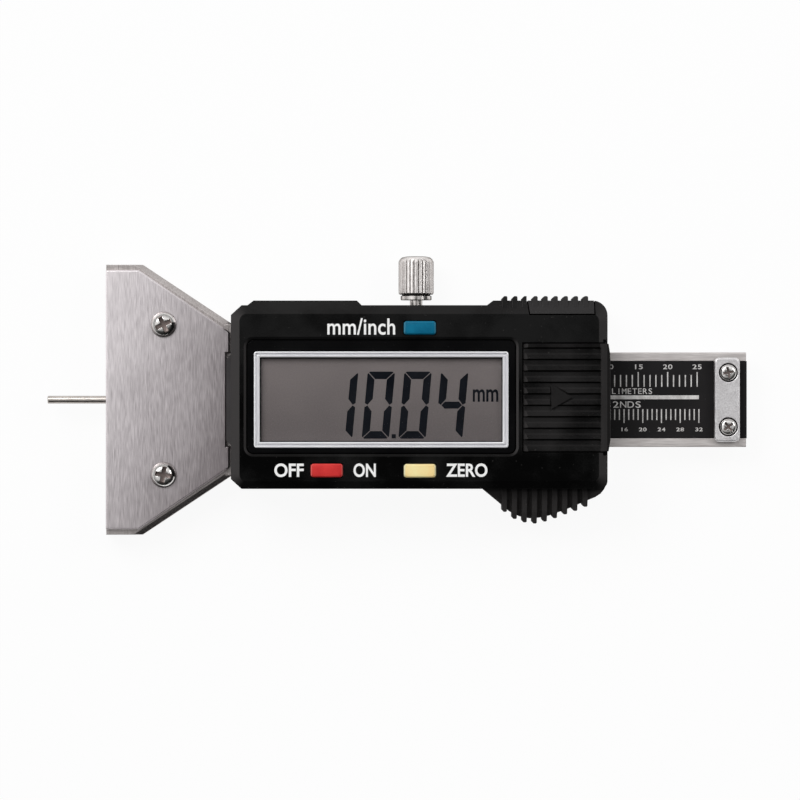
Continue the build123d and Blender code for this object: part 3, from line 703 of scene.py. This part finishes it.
def displayRing(settings):
    clearSelection()
    bpy.ops.mesh.primitive_cube_add(size=1, location=(0, 0, 0))
    piece = bpy.context.object
    wide, deep = settings["right"] - settings["left"], 2 * settings["half"]
    tall = settings["high"] - settings["low"] - settings["crown"]
    piece.scale = (wide * mm, deep * mm, tall * mm)
    piece.location = (
        (settings["left"] + settings["right"]) / 2 * mm, 0, (settings["low"] + tall / 2) * mm
    )
    bpy.ops.object.transform_apply(location=True, rotation=True, scale=True)
    clearSelection()
    bpy.ops.mesh.primitive_cube_add(size=1, location=(0, 0, 0))
    blank = bpy.context.object
    slack = settings["slack"]
    blank.scale = ((wide + slack) * mm, (deep + slack) * mm, 4 * mm)
    blank.location = ((settings["left"] + settings["right"]) / 2 * mm, 0, settings["low"] * mm)
    bpy.ops.object.transform_apply(location=True, rotation=True, scale=True)
    corner = blank.modifiers.new("corner", "BEVEL")
    corner.width = settings["corner"] * mm
    corner.segments = 6
    bpy.ops.object.modifier_apply(modifier="corner")
    take(piece)
    bpy.ops.object.mode_set(mode="EDIT")
    pickFaces(piece, lambda centre, normal: normal.z > 0.9)
    for step, up in settings["profile"]:
        bpy.ops.mesh.inset(thickness=step * mm, depth=0)
        bpy.ops.transform.translate(value=(0, 0, up * mm))
    bpy.ops.mesh.delete(type="ONLY_FACE")
    pickFaces(piece, lambda centre, normal: normal.z < -0.9)
    bpy.ops.mesh.inset(thickness=sum(step for step, up in settings["profile"]) * mm, depth=0)
    bpy.ops.mesh.delete(type="ONLY_FACE")
    bpy.ops.mesh.select_all(action="DESELECT")
    bpy.ops.mesh.select_non_manifold(extend=False)
    bpy.ops.mesh.bridge_edge_loops()
    bpy.ops.mesh.select_all(action="SELECT")
    bpy.ops.mesh.normals_make_consistent(inside=False)
    bpy.ops.object.mode_set(mode="OBJECT")
    combined(piece, blank, "INTERSECT")
    bpy.ops.object.shade_smooth_by_angle(angle=math.radians(24))
    return settle(piece, "displayRing", silver, "gauge_body")


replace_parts(displayRing(ringShape), "window_frame")
print("display ring done")


# scale on the beam

scale = {
    "zero": 75.3, "face": 1.368, "thick": 0.012, "tick": 0.2,
    "mmLow": 2.2, "mmHigh": 4.2, "mmLong": 4.7, "inchHigh": -1.6, "inchLow": -3.45, "inchLong": -3.95,
    "inchStep": 25.4 / 32, "inchZero": 75.2,
}
ticks = []
for i in range(26):
    x = scale["zero"] + i
    top = scale["mmLong"] if i % 5 == 0 else scale["mmHigh"]
    ticks.append(bar(x - scale["tick"] / 2, x + scale["tick"] / 2, scale["mmLow"], top))
for i in range(33):
    x = scale["inchZero"] + i * scale["inchStep"]
    low = scale["inchLong"] if i % 4 == 0 else scale["inchLow"]
    ticks.append(bar(x - scale["tick"] / 2, x + scale["tick"] / 2, low, scale["inchHigh"]))
ticks.append(bar(scale["zero"], 100.6, 0.08, 0.74))
printed("scaleTicks", ticks, scale["face"], scale["thick"], greyPrint, "beam_unit")
onLabel = {"face": scale["face"], "thick": scale["thick"]}
mmDigits = {**onLabel, "low": 5.2, "high": 6.0, "wide": 0.68, "pitch": 0.87, "weight": 0.14}
for number in range(0, 26, 5):
    last = scale["zero"] + number + (len(str(number)) - 1) * mmDigits["pitch"] / 2
    evenLettering(
        f"mmNumber{number}", str(number), {**mmDigits, "last": last}, greyPrint, "beam_unit"
    )
inchDigits = {**onLabel, "low": -5.34, "high": -4.71, "wide": 0.56, "pitch": 0.7, "weight": 0.24}
for number in range(0, 33, 4):
    last = scale["inchZero"] + number * scale["inchStep"] + (len(str(number)) - 1) * inchDigits["pitch"] / 2
    evenLettering(
        f"inchNumber{number}", str(number), {**inchDigits, "last": last},
        greyPrint, "beam_unit",
    )
evenLettering(
    "scaleMillimeters", "MILLIMETERS",
    {**onLabel, "last": 92.36, "pitch": 0.887, "wide": 0.6, "low": 0.98, "high": 1.93, "weight": 0.05},
    greyPrint, "beam_unit",
)
evenLettering(
    "scaleInches", "32NDS",
    {**onLabel, "last": 90.29, "pitch": 1.265, "wide": 0.9, "low": -1.35, "high": -0.28, "weight": 0.05},
    greyPrint, "beam_unit",
)
print("scale done")


# screws with a cross recess

crossShape = {
    "profile": 0.34, "crownSteps": ((0.3, 0.05), (0.3, 0.025)), "taper": (0.84, 0.86, 1), "over": 0.02,
    "worn": 0.035, "wornAngle": 38, "smoothAngle": 34,
}


def crossScrew(name, settings):
    clearSelection()
    radius, tall = settings["radius"] * mm, settings["tall"] * mm
    seat = settings["seat"] * mm
    bpy.ops.mesh.primitive_cylinder_add(
        vertices=64, radius=radius, depth=tall,
        location=(settings["x"] * mm, settings["y"] * mm, seat + tall / 2),
    )
    piece = bpy.context.object
    bpy.ops.object.transform_apply(location=True, rotation=False, scale=False)
    bpy.ops.object.mode_set(mode="EDIT")
    pickFaces(piece, lambda centre, normal: normal.z > 0.9)
    bpy.ops.mesh.bevel(
        offset=settings["round"] * mm, segments=9, profile=crossShape["profile"], affect="EDGES",
    )
    pickFaces(piece, lambda centre, normal: normal.z > 0.999 and centre.z > seat + tall * 0.99)
    for share, rise in crossShape["crownSteps"]:  # a low crown on the top
        bpy.ops.mesh.inset(thickness=settings["crown"] * mm * share, depth=0)
        bpy.ops.transform.translate(value=(0, 0, settings["crown"] * mm * rise))
    pickFaces(piece, lambda centre, normal: normal.z < -0.9)
    bpy.ops.mesh.inset(thickness=radius - settings["shank"] * mm, depth=0)
    bpy.ops.mesh.extrude_region_move(
        TRANSFORM_OT_translate={"value": (0, 0, -(seat - settings["tip"] * mm))}
    )
    bpy.ops.object.mode_set(mode="OBJECT")
    top = seat + tall
    for turn in (0, 90):
        clearSelection()
        bpy.ops.mesh.primitive_cube_add(size=1, location=(0, 0, 0))
        cutter = bpy.context.object
        cutter.scale = (2 * settings["reach"] * mm, settings["arm"] * mm, 2 * settings["deep"] * mm)
        bpy.ops.object.transform_apply(location=False, rotation=False, scale=True)
        bpy.ops.object.mode_set(mode="EDIT")
        pickFaces(cutter, lambda centre, normal: normal.z < -0.9)
        bpy.ops.transform.resize(
            value=crossShape["taper"], center_override=(0, 0, -settings["deep"] * mm)
        )
        bpy.ops.object.mode_set(mode="OBJECT")
        cutter.rotation_euler = (0, 0, math.radians(settings["turn"] + turn))
        cutter.location = (settings["x"] * mm, settings["y"] * mm, top + crossShape["over"] * mm)
        bpy.ops.object.transform_apply(location=True, rotation=True, scale=True)
        combined(piece, cutter, "DIFFERENCE")
    take(piece)
    edge = piece.modifiers.new("worn", "BEVEL")
    edge.width = crossShape["worn"] * mm
    edge.segments = 2
    edge.limit_method = "ANGLE"
    edge.angle_limit = math.radians(crossShape["wornAngle"])
    bpy.ops.object.modifier_apply(modifier="worn")
    bpy.ops.object.shade_smooth_by_angle(angle=math.radians(crossShape["smoothAngle"]))
    settle(piece, name, screwSteel, settings["body"])
    piece.data.materials.append(recess.owner)
    turn = math.radians(settings["turn"])
    for face in piece.data.polygons:
        x, y = face.center.x / mm - settings["x"], face.center.y / mm - settings["y"]
        along = abs(x * math.cos(turn) + y * math.sin(turn))
        across = abs(y * math.cos(turn) - x * math.sin(turn))
        inside = min(along, across) < settings["arm"] / 2 and max(along, across) < settings["reach"]
        if inside and seat + tall * 0.2 < face.center.z < top - 0.04 * mm:
            face.material_index = 1
    return piece


baseScrew = {
    "x": 9.8, "seat": 3.1, "tall": 1.35, "radius": 2.15, "round": 0.95, "crown": 1.1, "shank": 1.2,
    "tip": -1.4, "reach": 1.45, "arm": 0.82, "deep": 0.95, "body": "gauge_body",
}
for name, y, turn in (("baseScrewUpper", 12.73, 25), ("baseScrewLower", -12.73, -10)):
    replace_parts(crossScrew(name, {**baseScrew, "y": y, "turn": turn}), "base_screws")
stopScrew = {
    "x": 105.5, "seat": 2.5, "tall": 0.85, "radius": 1.42, "round": 0.4, "crown": 0.85, "shank": 0.8,
    "tip": 0.2, "reach": 1.0, "arm": 0.44, "deep": 0.6, "body": "beam_unit",
}
for name, y, turn in (("stopScrewUpper", 4.6, 12), ("stopScrewLower", -4.6, 38)):
    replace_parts(crossScrew(name, {**stopScrew, "y": y, "turn": turn}), "end_stop_screws")
print("screws done")


# keys beside the display

keyShape = {
    "long": 5.4, "wide": 2.32, "corner": 0.5, "edge": 0.22, "flangeLow": 8.1, "flangeTop": 8.95,
    "stem": (2.2, 1.4), "sink": 0.1, "inset": 0.2, "overlap": 0.4,
}
keys = {"unit_button": blueKey, "power_button": redKey, "zero_button": yellowKey}
keyParts = {
    "unit_button": ("unitKey", "unit_key", "button_blue"),
    "power_button": ("powerKey", "power_key", "button_red"),
    "zero_button": ("zeroKey", "zero_key", "button_yellow"),
}


def block(low, high):  # a block between two corners in mm
    clearSelection()
    bpy.ops.mesh.primitive_cube_add(size=1, location=(0, 0, 0))
    piece = bpy.context.object
    piece.scale = [(high[i] - low[i]) * mm for i in range(3)]
    piece.location = [(high[i] + low[i]) / 2 * mm for i in range(3)]
    bpy.ops.object.transform_apply(location=True, rotation=True, scale=True)
    return piece


def bevelled(piece, width, wanted):  # rounds the edges for which wanted(first corner, second corner) holds
    take(piece)
    bpy.ops.object.mode_set(mode="EDIT")
    bpy.ops.mesh.select_all(action="DESELECT")
    bpy.ops.object.mode_set(mode="OBJECT")
    corners = piece.data.vertices
    for edge in piece.data.edges:
        edge.select = wanted(corners[edge.vertices[0]].co, corners[edge.vertices[1]].co)
    bpy.ops.object.mode_set(mode="EDIT")
    bpy.ops.mesh.bevel(offset=width * mm, segments=5, affect="EDGES")
    bpy.ops.object.mode_set(mode="OBJECT")


def keyCap(node, settings):
    low, high = (Vector(corner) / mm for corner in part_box(node))
    x, y = (low.x + high.x) / 2, (low.y + high.y) / 2
    half, deep = settings["long"] / 2, settings["wide"] / 2
    cap = block((x - half, y - deep, settings["flangeLow"] + settings["sink"]), (x + half, y + deep, high.z))
    bevelled(cap, settings["corner"], lambda first, second: abs(first.z - second.z) > 0.1 * mm)
    bevelled(cap, settings["edge"], lambda first, second: min(first.z, second.z) > (high.z - 0.01) * mm)
    flange = block(
        (low.x, y - deep + settings["inset"], settings["flangeLow"]),
        (high.x, y + deep - settings["inset"], settings["flangeTop"]),
    )
    stemLong, stemWide = settings["stem"]
    stem = block(
        (x - stemLong / 2, y - stemWide / 2, low.z),
        (x + stemLong / 2, y + stemWide / 2, settings["flangeLow"] + settings["overlap"]),
    )
    for other in (flange, stem):
        combined(cap, other, "UNION")
    bpy.ops.object.shade_smooth_by_angle(angle=math.radians(30))
    name, body, slot = keyParts[node]
    return settle(cap, name, keys[node], body)


for node in keys:
    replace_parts(keyCap(node, keyShape), node)
print("keys done")


# locking knob

knobShape = {
    "x": 52.6, "radius": 3.0, "teeth": 26, "groove": 0.3, "low": 17.85, "high": 24.33,
    # pairs of a share of a tooth's pitch and a share of the groove's depth
    "tooth": ((0.0, 1.0), (0.14, 0.1), (0.32, 0.0), (0.68, 0.0), (0.86, 0.1)),
    "blank": ((0, 2.78), (0.25, 3.001), (5.57, 3.001), (6.07, 2.72), (6.34, 2.35), (6.48, 1.7)),
    "stem": ((16.9, 1.05), (16.9, 2.5), (16.99, 2.63), (17.58, 2.63), (17.66, 2.52), (17.67, 2.4)),
    "neck": 2.4, "overlap": 0.1,
    "threadLow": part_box("lock_screw")[0].y / mm, "threadHigh": 11.6,
    "thread": 1.25, "root": 1.02, "pitch": 0.5,
}


def onKnobAxis(piece, low):  # turns a piece made along z onto the axis of the knob
    piece.rotation_euler = (math.radians(-90), 0, 0)
    piece.location = (knobShape["x"] * mm, low * mm, 0)
    take(piece)
    bpy.ops.object.transform_apply(location=True, rotation=True, scale=True)


def knobHead(settings):
    outline = []
    for tooth in range(settings["teeth"]):
        for share, deep in settings["tooth"]:
            turn = 2 * math.pi * (tooth + share) / settings["teeth"]
            reach = settings["radius"] - settings["groove"] * deep
            outline.append((reach * math.cos(turn), reach * math.sin(turn)))
    piece = raised("knobHead", [outline], 0, settings["high"] - settings["low"])
    closed(piece)
    combined(piece, turned(settings["blank"], 96), "INTERSECT")
    bpy.ops.object.shade_smooth_by_angle(angle=math.radians(20))
    onKnobAxis(piece, settings["low"])
    return settle(piece, "knobHead", knurlNickel, "lock_knob")


def knobStem(settings):
    profile = [(settings["threadLow"], settings["root"])]
    turns = int((settings["threadHigh"] - settings["threadLow"]) / settings["pitch"])
    for i in range(turns):
        start = settings["threadLow"] + i * settings["pitch"]
        profile.append((start + settings["pitch"] / 2, settings["thread"]))
        profile.append((start + settings["pitch"], settings["root"]))
    profile += [*settings["stem"], (settings["low"] + settings["overlap"], settings["neck"])]
    piece = turned(profile, 48)
    bpy.ops.object.shade_smooth_by_angle(angle=math.radians(30))
    onKnobAxis(piece, 0)
    return settle(piece, "knobStem", knobNickel, "lock_knob")


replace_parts(knobHead(knobShape), "lock_screw")
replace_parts(knobStem(knobShape), "lock_screw")
print("locking knob done")


# floor, light and camera

def rays(finish):  # rays from the camera, off gloss and through glass
    kinds = ("Camera", "Glossy", "Transmission")
    return [finish.node("LightPath", {}, {}, f"Is {kind} Ray") for kind in kinds]


clearSelection()
bpy.ops.mesh.primitive_plane_add(size=4, location=(0.05, 0, cadBox[0][2] - 0.1 * mm))
floor = bpy.context.object
floor.name = "floor"
paper = Finish("paleFloor")
seen, mirrored, through = rays(paper)
glow = 0.93
share = paper.node("Math", {"operation": "MINIMUM"}, {0: (seen + mirrored + through) * glow, 1: glow})
matt = paper.node("BsdfDiffuse", {}, {"Color": (0.93, 0.93, 0.93, 1)})
white = paper.node("Emission", {}, {"Color": (1, 1, 1, 1), "Strength": 1.0})
paper.node("OutputMaterial", {}, {"Surface": paper.node("MixShader", {}, {0: share, 1: matt, 2: white})})
floor.data.materials.append(paper.owner)

world = bpy.data.worlds.new("studio")
bpy.context.scene.world = world
room = Finish("studio", world)
compass = room.node("TexCoord", {}, {}, "Generated")
rise = room.node("SeparateXYZ", {}, {0: compass}, 2)
dome = room.node(  # dark above the camera, bright around it, dim at the horizon
    "ValToRGB",
    {"stops": [
        (0.0, (0.3, 0.3, 0.3, 1)), (0.5, (0.35, 0.35, 0.35, 1)), (0.66, (0.6, 0.6, 0.6, 1)),
        (0.86, (1.0, 1.0, 1.0, 1)), (0.985, (1.0, 1.0, 1.0, 1)), (0.9985, (0.1, 0.1, 0.1, 1)),
    ]},
    {0: rise * 0.5 + 0.5},
)
lean = room.node("VectorMath", {"operation": "DOT_PRODUCT"}, {0: compass, 1: (-0.45, 0.89, 0)}, "Value")
shadeSide = room.node(
    "ValToRGB",
    {"stops": [
        (0.0, (0.02, 0.02, 0.02, 1)), (0.3, (0.08, 0.08, 0.08, 1)),
        (0.47, (0.7, 0.7, 0.7, 1)), (0.7, (1.0, 1.0, 1.0, 1)),
    ]},
    {0: lean * 0.5 + 0.5},
)
tone = room.node("Mix", {"data_type": "RGBA", "blend_type": "MULTIPLY"}, {0: 1.0, 6: dome, 7: shadeSide}, 2)
seen, mirrored, through = rays(room)
background = room.node("Math", {"operation": "MINIMUM"}, {0: seen + through, 1: 1.0})
level = room.node("Math", {"operation": "MINIMUM"}, {0: (seen + mirrored + through) * 0.35 + 0.7, 1: 1.05})
sky = room.node(
    "Background", {}, {"Color": room.mix(background, tone, (1, 1, 1, 1)), "Strength": level}
)
room.node("OutputWorld", {}, {"Surface": sky})

lamps = {
    "window": {"at": (-0.4, 0.5, 0.7), "size": 0.6, "power": 4.9},
    "fill": {"at": (0.6, 0.25, 0.5), "size": 0.4, "power": 1.4},
}
for name, settings in lamps.items():
    clearSelection()
    bpy.ops.object.light_add(type="AREA", location=settings["at"])
    lamp = bpy.context.object
    lamp.name = name
    lamp.data.energy = settings["power"]
    lamp.data.shape = "DISK"
    lamp.data.size = settings["size"]
    aim = Vector((0.05, 0, 0)) - Vector(settings["at"])
    lamp.rotation_euler = aim.to_track_quat("-Z", "Y").to_euler()

camera = {"x": 49.86, "y": -0.05, "high": 900.0, "lens": 238.2}
clearSelection()
bpy.ops.object.camera_add(
    location=(camera["x"] * mm, camera["y"] * mm, camera["high"] * mm), rotation=(0, 0, 0)
)
eye = bpy.context.object
eye.name = "photoCamera"
eye.data.lens = camera["lens"]
eye.data.sensor_width = 36
eye.data.clip_start = 0.01
bpy.context.scene.camera = eye
bpy.context.scene.view_settings.view_transform = "Standard"
print("floor, light and camera done")
